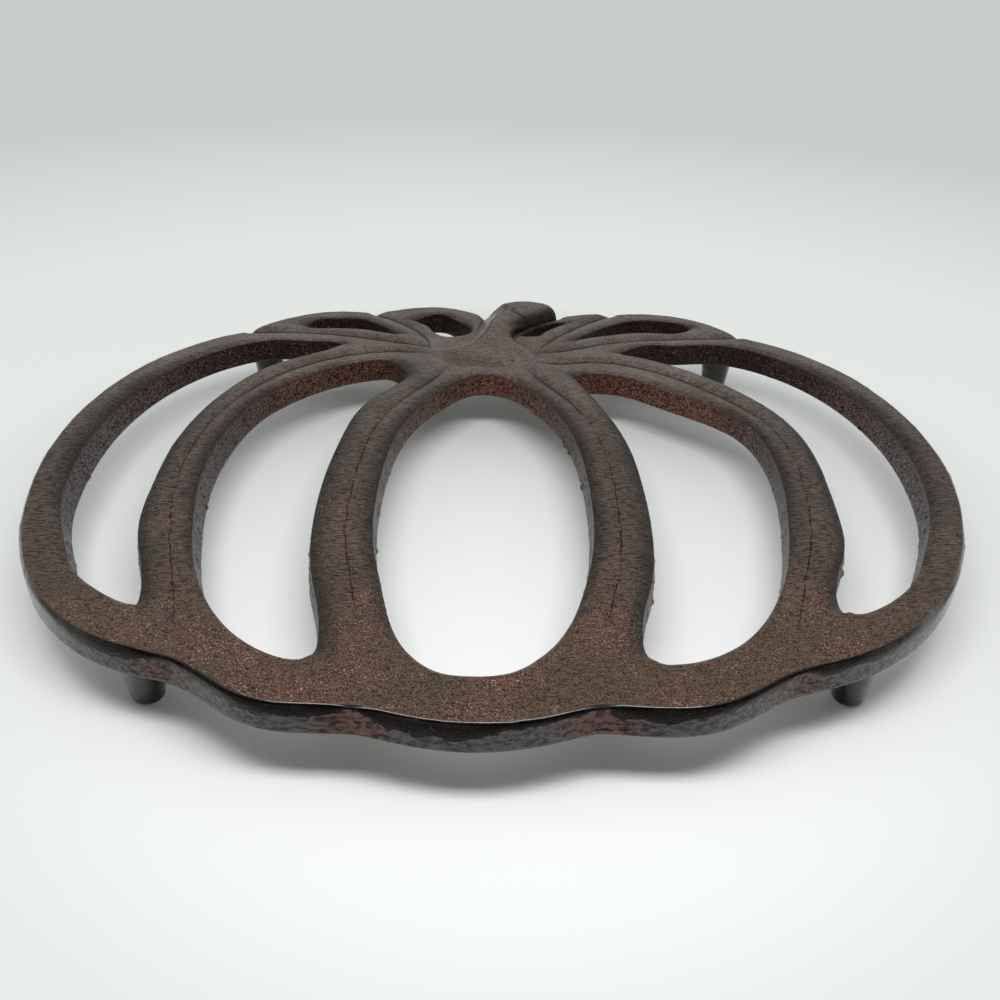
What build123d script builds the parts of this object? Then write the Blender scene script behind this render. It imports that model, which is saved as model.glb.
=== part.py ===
"""Cast iron trivet in the shape of a pumpkin, on four short feet.

The plate is an openwork pumpkin seen from the front: nine ring-shaped segments, each round its own
opening, and a raised stem.  Neighbouring segments meet along the creases of the pumpkin.  The real
plate is one casting, divided here where it is visibly divided: along its creases, round the root of
the stem and at the root of each foot.
"""

import os

from build123d import *

# Overall size of the plan.  The plan's curves are drawn on squared paper with so many squares
# across the overall width, so the drawing follows the width.
overall_width = 190.0
squares_across = 190

# Plate and stem.  An edge's rounding is never more than a share of the wall that it is on.
plate_thickness = 6.0
edge_round = 1.4
stem_rise = 3.0
stem_lip_rise = 1.0
stem_ramp = 20.0
stem_round = 2.6
round_limit = 0.3

# Borders: how wide the iron is between a side of a segment and the segment's opening
center_border = 5.2
inner_left_crease_border = 6.5
inner_right_crease_border = 6.2
inner_left_outer_border = 4.4
inner_right_outer_border = 4.3
inner_left_top_border = 5.4
inner_right_top_border = 7.2
outer_left_crease_border = 4.8
outer_right_crease_border = 5.6
outer_left_low_border = 5.9
outer_right_low_border = 6.4
outer_left_back_border = 5.6
outer_right_back_border = 4.6
back_crease_border = 4.0
back_rim_border = 4.8
back_end_border = 6.6
rear_rim_border = 5.6
rear_crease_border = 3.6
rear_stem_border = 2.2
crown_border = 8.3
rim_border_left = 6.9
rim_border_right = 6.6
front_band = 10.8
outer_front_band = 9.9

# Feet: cones that hang from the flat underside
foot_height = 10.0
foot_root_diameter = 8.8
foot_tip_diameter = 5.6
foot_tip_round = 0.8

square = overall_width / squares_across


def on_plan(point):
    """A point of the squared drawing at its real place."""
    return Vector(point[0] * square, point[1] * square)


def curve(*points):
    """A smooth line through points of the drawing."""
    return Spline(*[on_plan(point) for point in points])


def along(side, distance):
    """Place and direction on a side, at a distance from its start.  A side is (line, forwards)."""
    line, forwards = side
    if forwards:
        here = line.position_at(distance, position_mode=PositionMode.LENGTH)
        way = line.tangent_at(distance, position_mode=PositionMode.LENGTH)
        return here, way
    here = line.position_at(line.length - distance, position_mode=PositionMode.LENGTH)
    way = line.tangent_at(line.length - distance, position_mode=PositionMode.LENGTH)
    return here, way * -1


def set_in(side, border, first, last, count):
    """Points set in from a side by its border, evenly spaced between two shares of its length."""
    points = []
    for number in range(count):
        share = first + (last - first) * number / max(count - 1, 1)
        here, way = along(side, side[0].length * share)
        points.append(here + Vector(-way.Y, way.X) * border)
    return points


# Places where creases meet the outline, in squares of the drawing
notch_center_left = (-21.5, -96.3)
notch_center_right = (15.6, -95.4)
notch_inner_left = (-51.5, -86.0)
notch_inner_right = (47.5, -87.0)
notch_outer_left = (-64.0, 40.8)
notch_outer_right = (65.6, 45.0)
notch_back_left = (-32.5, 55.5)
notch_back_right = (33.0, 58.3)
stem_notch_left = (-2.0, 54.8)
stem_notch_right = (18.0, 56.0)

# Places where creases meet round the root of the stem
root_center_left = (-10.5, 23.3)
root_center_right = (7.5, 22.8)
root_inner_left = (-14.6, 29.6)
root_inner_right = (9.3, 26.3)
root_outer_left = (-16.3, 34.6)
root_outer_right = (11.8, 32.3)

# Creases, each from the root of the stem to its notch
crease_center_left = curve(
    root_center_left, (-15.0, 15.0), (-23.0, 0.0), (-28.2, -30.0), (-27.0, -58.0), (-22.5, -79.5),
    notch_center_left)
crease_center_right = curve(
    root_center_right, (12.5, 14.5), (18.7, 2.5), (24.2, -32.0), (22.3, -60.0), (18.0, -78.5),
    notch_center_right)
crease_inner_left = curve(
    root_inner_left, (-25.0, 31.2), (-35.5, 28.5), (-52.5, 15.0), (-61.0, -4.0), (-63.6, -28.0),
    (-60.0, -52.0), (-53.7, -73.0), notch_inner_left)
crease_inner_right = curve(
    root_inner_right, (18.0, 26.3), (26.0, 27.4), (37.5, 24.1), (53.7, 10.0), (62.2, -5.0),
    (63.8, -25.0), (59.7, -50.0), (50.6, -75.6), notch_inner_right)
crease_outer_left = curve(
    root_outer_left, (-28.0, 37.8), (-45.0, 41.2), notch_outer_left)
crease_outer_right = curve(
    root_outer_right, (20.5, 35.0), (30.0, 39.3), (45.0, 42.8), notch_outer_right)
crease_back_left = curve(
    root_outer_left, (-17.6, 40.0), (-20.4, 45.0), (-26.0, 51.0), notch_back_left)
crease_back_right = curve(
    root_outer_right, (15.3, 40.5), (20.0, 46.5), (26.0, 53.0), notch_back_right)
root_step_left = curve(root_center_left, root_inner_left)
root_flare_left = curve(root_inner_left, root_outer_left)
root_step_right = curve(root_center_right, root_inner_right)
root_flare_right = curve(root_inner_right, root_outer_right)
root_lip = curve(root_center_left, (-1.5, 22.9), root_center_right)
stem_side_left = curve(root_outer_left, (-9.0, 35.2), (-5.8, 39.6), (-4.2, 46.0), stem_notch_left)
stem_side_right = curve(
    root_outer_right, (6.3, 36.0), (5.0, 40.6), (7.2, 46.3), (12.0, 51.5), stem_notch_right)

# Outline, between notches
front_center = curve(notch_center_left, (-3.0, -100.5), notch_center_right)
front_inner_left = curve(
    notch_inner_left, (-44.0, -91.8), (-37.5, -95.7), (-29.5, -97.0), notch_center_left)
front_inner_right = curve(
    notch_center_right, (24.5, -96.8), (34.5, -95.5), (41.5, -91.6), notch_inner_right)
rim_left = curve(
    notch_outer_left, (-80.7, 26.0), (-89.2, 8.5), (-93.0, -20.0), (-88.2, -50.0), (-76.5, -72.5),
    (-62.0, -83.6), notch_inner_left)
rim_right = curve(
    notch_inner_right, (59.0, -83.8), (75.2, -72.2), (89.4, -50.0), (96.9, -18.0), (94.6, 7.5),
    (85.8, 28.0), notch_outer_right)
back_rim_left = curve(notch_back_left, (-44.0, 55.9), (-55.4, 50.4), notch_outer_left)
back_rim_right = curve(notch_outer_right, (56.0, 56.0), (44.5, 59.8), notch_back_right)
rear_rim_left = curve(
    stem_notch_left, (-8.0, 59.0), (-15.6, 61.2), (-24.0, 59.4), notch_back_left)
rear_rim_right = curve(notch_back_right, (28.5, 59.0), (22.5, 57.6), stem_notch_right)
stem_end = curve(stem_notch_right, (14.0, 60.0), (9.5, 61.3), (5.0, 60.4), stem_notch_left)

# The sides that go round each segment
segment_sides = {
    "segment_center": [crease_center_left, front_center, crease_center_right, root_lip],
    "segment_inner_left": [crease_inner_left, front_inner_left, crease_center_left, root_step_left],
    "segment_inner_right": [crease_center_right, front_inner_right, crease_inner_right, root_step_right],
    "segment_outer_left": [rim_left, crease_inner_left, root_flare_left, crease_outer_left],
    "segment_outer_right": [crease_inner_right, rim_right, crease_outer_right, root_flare_right],
    "segment_back_left": [back_rim_left, crease_outer_left, crease_back_left],
    "segment_back_right": [crease_outer_right, back_rim_right, crease_back_right],
    "segment_rear_left": [rear_rim_left, crease_back_left, stem_side_left],
    "segment_rear_right": [crease_back_right, rear_rim_right, stem_side_right],
}
stem_sides = [
    root_lip, root_step_right, root_flare_right, stem_side_right, stem_end, stem_side_left,
    root_flare_left, root_step_left]

# The points that each segment's opening passes through, counterclockwise.  A row is a side and
# whether it is followed forwards, its border, and the points' first and last share of its length
# and their number.
openings = {
    "segment_center": [
        ((crease_center_left, True), center_border, 0.12, 0.78, 6),
        ((front_center, True), front_band, 0.30, 0.68, 3),
        ((crease_center_right, False), center_border, 0.22, 0.88, 6),
        ((root_lip, False), center_border, 0.40, 0.60, 2),
    ],
    "segment_inner_left": [
        ((crease_inner_left, True), inner_left_top_border, 0.10, 0.26, 3),
        ((crease_inner_left, True), inner_left_outer_border, 0.38, 0.86, 5),
        ((front_inner_left, True), front_band, 0.40, 0.72, 3),
        ((crease_center_left, False), inner_left_crease_border, 0.14, 0.80, 6),
        ((crease_center_left, False), crown_border, 0.93, 0.93, 1),
    ],
    "segment_inner_right": [
        ((crease_center_right, True), crown_border, 0.09, 0.09, 1),
        ((crease_center_right, True), inner_right_crease_border, 0.20, 0.86, 6),
        ((front_inner_right, True), front_band, 0.28, 0.60, 3),
        ((crease_inner_right, False), inner_right_outer_border, 0.14, 0.60, 5),
        ((crease_inner_right, False), inner_right_top_border, 0.72, 0.86, 3),
    ],
    "segment_outer_left": [
        ((rim_left, True), rim_border_left, 0.10, 0.84, 8),
        ((rim_left, True), outer_front_band, 0.91, 0.91, 1),
        ((crease_inner_left, False), outer_left_low_border, 0.11, 0.25, 2),
        ((crease_inner_left, False), outer_left_crease_border, 0.37, 0.82, 6),
        ((crease_outer_left, True), outer_left_back_border, 0.46, 0.84, 3),
    ],
    "segment_outer_right": [
        ((crease_inner_right, True), outer_right_crease_border, 0.15, 0.65, 6),
        ((crease_inner_right, True), outer_right_low_border, 0.75, 0.87, 2),
        ((rim_right, True), outer_front_band, 0.11, 0.11, 1),
        ((rim_right, True), rim_border_right, 0.18, 0.90, 8),
        ((crease_outer_right, False), outer_right_back_border, 0.16, 0.54, 3),
    ],
    "segment_back_left": [
        ((back_rim_left, True), back_rim_border, 0.10, 0.50, 3),
        ((crease_outer_left, False), back_crease_border, 0.30, 0.72, 3),
        ((crease_back_left, True), back_end_border, 0.42, 0.42, 1),
    ],
    "segment_back_right": [
        ((crease_outer_right, True), back_crease_border, 0.22, 0.76, 4),
        ((back_rim_right, True), back_rim_border, 0.38, 0.84, 3),
        ((crease_back_right, False), back_rim_border, 0.44, 0.56, 2),
    ],
    "segment_rear_left": [
        ((rear_rim_left, True), rear_rim_border, 0.26, 0.52, 2),
        ((crease_back_left, False), rear_crease_border, 0.42, 0.78, 3),
        ((stem_side_left, True), rear_stem_border, 0.52, 0.74, 2),
    ],
    "segment_rear_right": [
        ((crease_back_right, True), rear_crease_border, 0.28, 0.62, 3),
        ((stem_side_right, False), rear_stem_border, 0.22, 0.56, 3),
    ],
}

# Where the feet stand under the plate, in squares of the drawing
foot_places = {
    "foot_front_left": (-58.5, -78.8),
    "foot_front_right": (61.7, -76.6),
    "foot_back_left": (-59.5, 41.0),
    "foot_back_right": (61.0, 44.4),
}


def closed_face(lines):
    """The flat face that a closed run of lines goes round."""
    return Face(Wire(lines))


def opening_face(rows):
    """The opening of a segment: a smooth closed line through the points set in from its sides."""
    points = []
    for side, border, first, last, count in rows:
        points += set_in(side, border, first, last, count)
    return closed_face([Spline(*points, periodic=True)])


def rounded_top(slab, radius):
    """The slab with its upper edges rounded: first round its opening, then round its outside."""
    top = slab.faces().sort_by(Axis.Z)[-1]
    for wire in top.inner_wires():
        slab = fillet(wire.edges(), radius)
    top = slab.faces().sort_by(Axis.Z)[-1]
    return fillet(top.outer_wire().edges(), radius)


def segment(name):
    """A ring-shaped slab between a segment's sides and its opening, rounded at the top."""
    slab = extrude(closed_face(segment_sides[name]), plate_thickness)
    slab -= extrude(opening_face(openings[name]), plate_thickness)
    narrowest = min(row[1] for row in openings[name])
    return rounded_top(slab, min(edge_round, round_limit * narrowest))


def stem():
    """The stem fills its place in the plate and stands up above it: a ramp climbs from its lip."""
    full_height = plate_thickness + stem_rise
    lip = on_plan(root_center_left)
    ramp = Plane(
        origin=(lip.X, lip.Y, plate_thickness + stem_lip_rise), x_dir=(1, 0, 0),
        z_dir=(0, stem_lip_rise - stem_rise, stem_ramp))
    body = split(extrude(closed_face(stem_sides), full_height), bisect_by=ramp, keep=Keep.BOTTOM)
    upward = body.faces().filter_by(lambda face: face.normal_at().Z > 0.5)
    rim = upward.edges().filter_by(Axis.X, reverse=True)
    return fillet(rim, min(stem_round, round_limit * full_height))


def foot():
    """A tapered foot that stands on the floor, with its root up and its end rounded."""
    cone = Cone(
        foot_tip_diameter / 2, foot_root_diameter / 2, foot_height,
        align=(Align.CENTER, Align.CENTER, Align.MIN))
    return fillet(cone.faces().sort_by(Axis.Z)[0].edges(), foot_tip_round)


# Every piece at its place in the drawing, standing on the floor
pieces = {}
for name in segment_sides:
    pieces[name] = Pos(0, 0, foot_height) * segment(name)
pieces["stem"] = Pos(0, 0, foot_height) * stem()
for name, place in foot_places.items():
    pieces[name] = Pos(on_plan(place)) * foot()

# The origin is on the floor, under the middle of the whole trivet
middle = Compound(list(pieces.values())).bounding_box().center()
os.makedirs("parts", exist_ok=True)
for name, piece in pieces.items():
    export_step(Pos(-middle.X, -middle.Y, 0) * piece, f"parts/{name}.step")
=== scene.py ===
import bpy
import numpy as np
from mathutils import Matrix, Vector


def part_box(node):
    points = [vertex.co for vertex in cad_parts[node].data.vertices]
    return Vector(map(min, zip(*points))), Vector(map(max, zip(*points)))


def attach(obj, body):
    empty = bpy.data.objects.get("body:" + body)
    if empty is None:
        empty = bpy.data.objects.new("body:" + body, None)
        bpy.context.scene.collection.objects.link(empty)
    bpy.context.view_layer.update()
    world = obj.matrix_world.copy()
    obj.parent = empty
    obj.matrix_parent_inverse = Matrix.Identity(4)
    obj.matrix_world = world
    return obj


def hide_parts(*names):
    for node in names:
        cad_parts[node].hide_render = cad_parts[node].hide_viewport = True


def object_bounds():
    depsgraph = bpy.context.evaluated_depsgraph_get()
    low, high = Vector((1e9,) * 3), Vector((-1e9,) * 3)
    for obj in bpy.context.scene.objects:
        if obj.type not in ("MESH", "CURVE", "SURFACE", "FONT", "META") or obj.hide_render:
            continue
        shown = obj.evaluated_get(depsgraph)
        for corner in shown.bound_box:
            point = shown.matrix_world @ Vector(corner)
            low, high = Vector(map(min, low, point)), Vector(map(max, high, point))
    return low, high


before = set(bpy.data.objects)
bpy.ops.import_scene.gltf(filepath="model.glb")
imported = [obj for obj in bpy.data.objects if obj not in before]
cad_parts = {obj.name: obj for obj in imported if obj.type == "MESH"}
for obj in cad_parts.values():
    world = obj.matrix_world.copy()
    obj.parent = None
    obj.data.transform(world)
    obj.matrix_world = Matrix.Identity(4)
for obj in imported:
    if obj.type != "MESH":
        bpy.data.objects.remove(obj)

cad_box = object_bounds()
mm = 0.001

# Plate segments: open rings of one sand casting, each round its own opening, that meet along the
# creases of the pumpkin.  Grey iron poured in a sand mould, knocked out, and lacquered brown.
segments = sorted(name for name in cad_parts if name.startswith("segment_"))
plate_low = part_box("segment_center")[0].z
plate_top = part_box("segment_center")[1].z
skin_drop = 0.12 * mm
column_step = 0.45 * mm
corner_turn = np.radians(28)
opening_points = 4000
even_share = 0.15
facing_waves = 1 / 14
join_overlap = 0.02 * mm
join_reach = 0.1 * mm

# Section of a border: an inner wall that leans out towards its foot, a crown that falls off to the
# opening, most of all across the ribs, and a round outer edge
edge_back = 0.2 * mm
usual_foot = 0.4 * mm
wall_feet = {
    "segment_outer_left": 1.7 * mm,
    "segment_outer_right": 1.6 * mm,
    "segment_inner_left": 1.3 * mm,
}
small_opening = 40 * mm
small_foot = 0.2 * mm
near_side_spread = 1.3
crown_width = 2.9 * mm
crown_drop = 0.95 * mm
crown_power = 2.0
crown_share = 0.45
# Reach of the painted shade on the rib shoulders, in crown widths
shoulder_shade_reach = 1.45
end_crown = 0.38
rim_width = 0.85 * mm
rim_drop = 1.8 * mm
rim_change = 0.38
rim_swell = 8 * mm
rim_fray = 1.4 * mm
rim_fray_share = 0.25
rim_least = -0.5
rim_most = 0.8
low_edge = 0.3 * mm
wall_stations = 11
top_stations = 39
under_stations = 4

# Relief that the sand leaves: a slow swell and finer pocks on the top, grit on the walls, and burrs
# low on the walls of the openings
swell_depth = 0.04 * mm
swell_size = 5 * mm
pock_depth = 0.018 * mm
pock_size = 1.4 * mm
grit_depth = 0.08 * mm
fine_grit = 0.8 * mm
coarse_grit = 2.1 * mm
coarse_share = 0.8
burr_depth = 0.35 * mm
burr_spacing = 1.7 * mm
burr_level = 0.12
burr_rare = 1.1
burr_most = 1.2
outer_grit_depth = 0.05 * mm
outer_grit = 1.6 * mm

# Fill of the front end of an opening, at its left corner, in its middle and at its right corner, which
# starts at a place along the plate and grows towards the front
front_end_fill = {
    "segment_center": (0.5 * mm, 0, 0.8 * mm),
    "segment_inner_left": (-1.0 * mm, 0, 0.5 * mm),
    "segment_inner_right": (0.9 * mm, 0, -1.1 * mm),
    "segment_outer_left": (1.5 * mm, 1.2 * mm, 1.2 * mm),
    "segment_outer_right": (2.2 * mm, 0.8 * mm, 0.2 * mm),
}
fill_start = -20 * mm
fill_fade = 20 * mm
fill_waves = 1 / 56

# Dips of the outline between two segments, which the casting fills with a soft round
front_fill = 0.9 * mm
back_fill = 0.7 * mm
dip_reach = 13 * mm
dip_look = 5 * mm
dip_edge = 3.2 * mm
dip_sharpness = 0.93
dip_rust = 6.5 * mm

# Creases: a hairline on the front ribs that dies out before the front band, open valleys at the
# back that die out towards the stem, and a valley round the stem's root
hairline_depth = 0.2 * mm
hairline_width = 0.16 * mm
hairline_aside = 0.16 * mm
hairline_sway = 2.6 * mm
hairline_break = 4 * mm
hairline_fray = 0.55 * mm
hairline_usual = 0.9
hairline_uneven = 0.2
hairline_ragged = 0.6
hairline_least = 0.05
hairline_most = 1.4
# Widths of the painted shade along the hairlines and in the valleys, and of the red halo beside the creases
hairline_paint = 0.15 * mm
paint_start = 1.15
halo_width = 0.8 * mm
valley_paint = 0.4 * mm
valley_hides = 0.65
front_valley_depth = 0.16 * mm
front_valley_width = 0.9 * mm
back_valley_depth = 0.7 * mm
back_valley_width = 1.3 * mm
hairline_end = -60 * mm
hairline_fade = 8 * mm
valley_start = 34 * mm
valley_fade = 26 * mm
crown_place = np.array([-4.0, 50.5]) * mm
crown_clear = 10 * mm
crown_fade = 10 * mm
root_depth = 0.3 * mm
root_width = 1.7 * mm

# Along the plate, where the stem stands clear of it and painted shade lies beside its right side, and where
# the outer wall's lacquer has worn off
stem_clear = 62 * mm
stem_clear_fade = 6 * mm
stem_shade = 1.8 * mm
lacquer_end = -45 * mm
lacquer_fade = 35 * mm
lacquer_worn = 0.62

# Outer wall, in shares of its height: the black edge reaches down it by a band of uneven width, and
# below the band it is ground bare.  The round edge loses its gloss towards the wall.
band_width = 0.06
band_change = 0.13
band_swell = 8 * mm
band_ragged = 0.12
band_fray = 1.2 * mm
band_climb = 4 * mm
band_least = -0.1
ground_start = 1.1
ground_fade = 0.25
dull_start = 0.35
dull_fade = 0.4


def underside_loops(node):
    """Closed outlines of a node's flat underside, the longest first, all counterclockwise.

    The underside's border is the edges that only one of its triangles has.  A loop is put in order
    by walking from point to next point, and the walk doubles its length at each step.
    """
    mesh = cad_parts[node].data
    places = np.empty(len(mesh.vertices) * 3)
    mesh.vertices.foreach_get("co", places)
    places = places.reshape(-1, 3)
    corners = np.empty(len(mesh.loops), int)
    mesh.loops.foreach_get("vertex_index", corners)
    corners = corners.reshape(-1, 3)
    level = places[:, 2].min() + 0.01 * mm
    corners = corners[(places[corners][:, :, 2] < level).all(1)]
    plan, weld = np.unique(np.round(places[:, :2], 7), axis=0, return_inverse=True)
    corners = weld.reshape(-1)[corners]
    first = corners[:, [1, 2, 0]].ravel()
    second = corners.ravel()
    border = ~np.isin(first * len(plan) + second, second * len(plan) + first)
    after = np.arange(len(plan))
    after[first[border]] = second[border]
    waiting = np.unique(first[border])
    loops = []
    while len(waiting):
        walk = waiting[:1]
        jump = after
        while walk[0] not in walk[1:]:
            walk = np.concatenate([walk, jump[walk]])
            jump = jump[jump]
        walk = walk[:1 + np.argmax(walk[1:] == walk[0])]
        waiting = np.setdiff1d(waiting, walk)
        loop = plan[walk]
        ahead = np.roll(loop, -1, axis=0)
        area = (loop[:, 0] * ahead[:, 1] - loop[:, 1] * ahead[:, 0]).sum()
        loops.append(loop if area > 0 else loop[::-1])
    return sorted(loops, key=lambda loop: -np.ptp(loop, axis=0).sum())


def run_length(points):
    """Length of a line of straight steps up to each of its points."""
    return np.concatenate([[0], np.cumsum(np.linalg.norm(np.diff(points, axis=0), axis=1))])


def even_points(points, count, closed=False):
    """Evenly spaced points on a smooth line through the given ones.

    A cubic runs from each point to the next, and its slope at a point is set by both neighbours.
    """
    if closed:
        points = np.concatenate([points[-3:], points, points[:4]])
    length = run_length(points)
    slope = np.gradient(points, length, axis=0)
    start, end = (length[3], length[-4]) if closed else (length[0], length[-1])
    at = np.linspace(start, end, count, endpoint=not closed)
    before = np.clip(np.searchsorted(length, at, side="right") - 1, 0, len(points) - 2)
    step = (length[before + 1] - length[before])[:, None]
    t = (at - length[before])[:, None] / step
    near = (1 + 2 * t) * points[before] + t * step * slope[before]
    far = (3 - 2 * t) * points[before + 1] - (1 - t) * step * slope[before + 1]
    return (1 - t) ** 2 * near + t ** 2 * far


def sides_of(loop):
    """A closed outline cut into smooth sides at its corners, where it turns sharply at one point."""
    ahead = np.roll(loop, -1, axis=0) - loop
    heading = np.arctan2(ahead[:, 1], ahead[:, 0])
    turn = (heading - np.roll(heading, 1) + np.pi) % (2 * np.pi) - np.pi
    corners = np.flatnonzero(np.abs(turn) > corner_turn)
    loop = np.roll(loop, -corners[0], axis=0)
    cuts = np.append(corners - corners[0], len(loop))
    loop = np.concatenate([loop, loop[:1]])
    return [loop[first:last + 1] for first, last in zip(cuts[:-1], cuts[1:])]


def distance_to(points, starts, ends):
    """Distance from each point to the nearest of many straight steps, worked out in millimetres."""
    points, starts, ends = (np.float32(line / mm) for line in (points, starts, ends))
    step = ends - starts
    square = np.maximum((step ** 2).sum(1), 1e-12)
    x = points[:, :1] - starts[:, 0]
    y = points[:, 1:] - starts[:, 1]
    along = np.clip((x * step[:, 0] + y * step[:, 1]) / square, 0, 1)
    x -= along * step[:, 0]
    y -= along * step[:, 1]
    return np.sqrt((x * x + y * y).min(1)).astype(float) * mm


def distance_field(plan, line, closed=True):
    """Distance of each point of a grid from a line, row by row."""
    starts, ends = (line, np.roll(line, -1, axis=0)) if closed else (line[:-1], line[1:])
    return np.stack([distance_to(row, starts, ends) for row in plan])


def ease(value):
    """Smooth step from 0 to 1 as the value goes from 0 to 1."""
    value = np.clip(value, 0, 1)
    return value * value * (3 - 2 * value)


def cast_noise(x, y, cell, seed):
    """Smooth random relief: random heights on a square net, eased between the net's corners."""
    table = np.random.default_rng(seed).standard_normal((256, 256))
    x, y = x / cell, y / cell
    column, row = np.floor(x).astype(int), np.floor(y).astype(int)
    right, up = ease(x - column), ease(y - row)
    low = table[column % 256, row % 256] * (1 - right) + table[(column + 1) % 256, row % 256] * right
    row = row + 1
    high = table[column % 256, row % 256] * (1 - right) + table[(column + 1) % 256, row % 256] * right
    return low * (1 - up) + high * up


def skin_relief(x, y):
    """Height of the sand's relief on the top: a slow swell with finer pocks."""
    swell = swell_depth * cast_noise(x, y, swell_size, seed=1)
    return swell + pock_depth * cast_noise(x, y, pock_size, seed=2)


outlines = {}
for name in segments + ["stem"]:
    outlines[name] = underside_loops(name)


def apart(points, name):
    """Distance of points from the nearest outline of the other nodes of the plate."""
    lines = [outlines[other][0] for other in outlines if other != name]
    return np.min([distance_to(points, line, np.roll(line, -1, axis=0)) for line in lines], axis=0)


def outline_dips():
    """Dips of the plate's outline, where the free sides of two neighbours meet.

    Each is its corner, the way out of it half between its two sides, and how steep they leave it.
    """
    ends = []
    for name in outlines:
        for side in sides_of(outlines[name][0]):
            if apart(side[len(side) // 2][None], name)[0] > join_reach:
                for line in (side, side[::-1]):
                    way = line[np.searchsorted(run_length(line), dip_look)] - line[0]
                    ends.append((line[0], way / np.linalg.norm(way)))
    dips = []
    for count, (corner, way) in enumerate(ends):
        for other, other_way in ends[:count]:
            if np.linalg.norm(corner - other) < join_reach:
                half = np.linalg.norm(way + other_way) / 2
                dips.append((corner, (way + other_way) / 2 / half, half / np.sqrt(1 - half ** 2)))
    return dips


dips = outline_dips()


def softened(plan):
    """Plan with the dips of its outline rounded.

    At a dip the points move out so that its two straight sides become a hyperbola that stands off
    the corner by the fill, and the move dies out with the distance from the corner.
    """
    moved = plan.copy()
    for corner, out, slope in dips:
        away = plan - corner
        fill = front_fill if corner[1] < 0 else back_fill
        aside = slope * np.abs(away @ np.array([-out[1], out[0]]))
        fade = 1 - ease(np.linalg.norm(away, axis=-1) / dip_reach)
        moved += ((np.sqrt(aside ** 2 + fill ** 2) - aside) * fade)[..., None] * out
    return moved


def evened(values, waves):
    """Values round a loop, evened out by damping the waves that are short for the number of values."""
    spectrum = np.fft.rfft(values, axis=0)
    spectrum *= np.exp(-(np.arange(len(spectrum)) / (waves * len(values))) ** 2)[:, None]
    return np.fft.irfft(spectrum, len(values), axis=0)


def facing_share(outer, opening):
    """How far round the opening each outer point faces, as a share of the opening's length.

    The nearest point of the opening, made to rise steadily, evened out along the loop by damping its
    short waves, and mixed with an even turn so that no two columns meet.
    """
    gap = np.linalg.norm(outer[:, None] - opening, axis=2)
    share = np.unwrap(2 * np.pi * gap.argmin(1) / len(opening)) / (2 * np.pi)
    even = np.arange(len(outer)) / len(outer)
    lead = evened((np.maximum.accumulate(share) - even)[:, None], facing_waves)[:, 0]
    return even + lead.mean() + (1 - even_share) * (lead - lead.mean())


def rib_share(y):
    """1 along the ribs, and 0 on the front band, where the creases have died out."""
    return ease((y - hairline_end) / hairline_fade)


def valley_share(y):
    """0 on the front ribs and 1 at the back, where the creases open into valleys."""
    return ease((y - valley_start + valley_fade) / valley_fade)


def off_crown(plan):
    """0 round the crown before the stem, where the segments melt together, and 1 clear of it."""
    return ease((np.linalg.norm(plan - crown_place, axis=-1) - crown_clear) / crown_fade)


def hairline_share(plan):
    """How deep the hairline is at a place: broken along its run, and none on the front band."""
    x, y = plan[..., 0], plan[..., 1]
    broken = hairline_usual + hairline_uneven * cast_noise(x, y, hairline_break, seed=5)
    broken = broken + hairline_ragged * cast_noise(x, y, hairline_fray, seed=8)
    broken = np.clip(broken, hairline_least, hairline_most)
    return broken * rib_share(y) * (1 - valley_hides * valley_share(y))


def crease_depth(distance, from_line, plan):
    """Drop of the surface at a distance from a crease and from its hairline.

    On the front ribs it is a sharp hairline in a shallow valley, and at the back a deep soft valley.
    """
    y = plan[..., 1]
    hairline = hairline_depth * hairline_share(plan) * np.clip(1 - from_line / hairline_width, 0, 1)
    shallow = front_valley_depth * rib_share(y) * (1 - valley_share(y))
    shallow = shallow * np.exp(-(distance / front_valley_width) ** 2)
    deep = back_valley_depth * valley_share(y) * np.exp(-(distance / back_valley_width) ** 2)
    return off_crown(plan) * (hairline + deep) + shallow


def rim_fall(over, plan):
    """Drop of the surface at the outer edge: a quarter of an ellipse.

    Its depth changes along the run and is least at the dips, where the edge is sharp.
    """
    x, y = plan[..., 0], plan[..., 1]
    change = rim_change * cast_noise(x, y, rim_swell, seed=14)
    change = change + rim_fray_share * rim_change * cast_noise(x, y, rim_fray, seed=15)
    depth = rim_drop * (1 + np.clip(change, rim_least, rim_most))
    for corner, out, slope in dips:
        away = np.linalg.norm(plan - corner, axis=-1)
        depth = depth * (1 - dip_sharpness * np.exp(-(away / dip_edge) ** 2))
    return depth * (1 - np.sqrt(1 - over ** 2))


def new_mesh(name, points, faces):
    """Mesh of points and faces, smooth shaded, with its faces turned outwards."""
    a, b, c, d = (points[faces[:, k]] for k in range(4))
    volume = (a * np.cross(b, c)).sum() + (a * np.cross(c, d)).sum()
    mesh = bpy.data.meshes.new(name)
    mesh.from_pydata(points, [], faces if volume > 0 else faces[:, ::-1])
    mesh.polygons.foreach_set("use_smooth", np.ones(len(faces), bool))
    return mesh


def sharpen(mesh, *lines):
    """Marks as sharp each edge whose two ends are both on one of the lines of marked points."""
    ends = np.empty(len(mesh.edges) * 2, int)
    mesh.edges.foreach_get("vertices", ends)
    sharp = [line.ravel()[ends.reshape(-1, 2)].all(1) for line in lines]
    mesh.edges.foreach_set("use_edge_sharp", np.any(sharp, axis=0))


def mark(mesh, name, values):
    """Stores one number for each point of a mesh, for its material to read."""
    layer = mesh.attributes.new(name, "FLOAT", "POINT")
    layer.data.foreach_set("value", values.astype(np.float32).ravel())


labels = ("inner_wall_and_shade", "far_wall", "outer_wall", "ground", "edge", "dip",
          "hairline", "halo", "valley", "shoulder")


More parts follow.
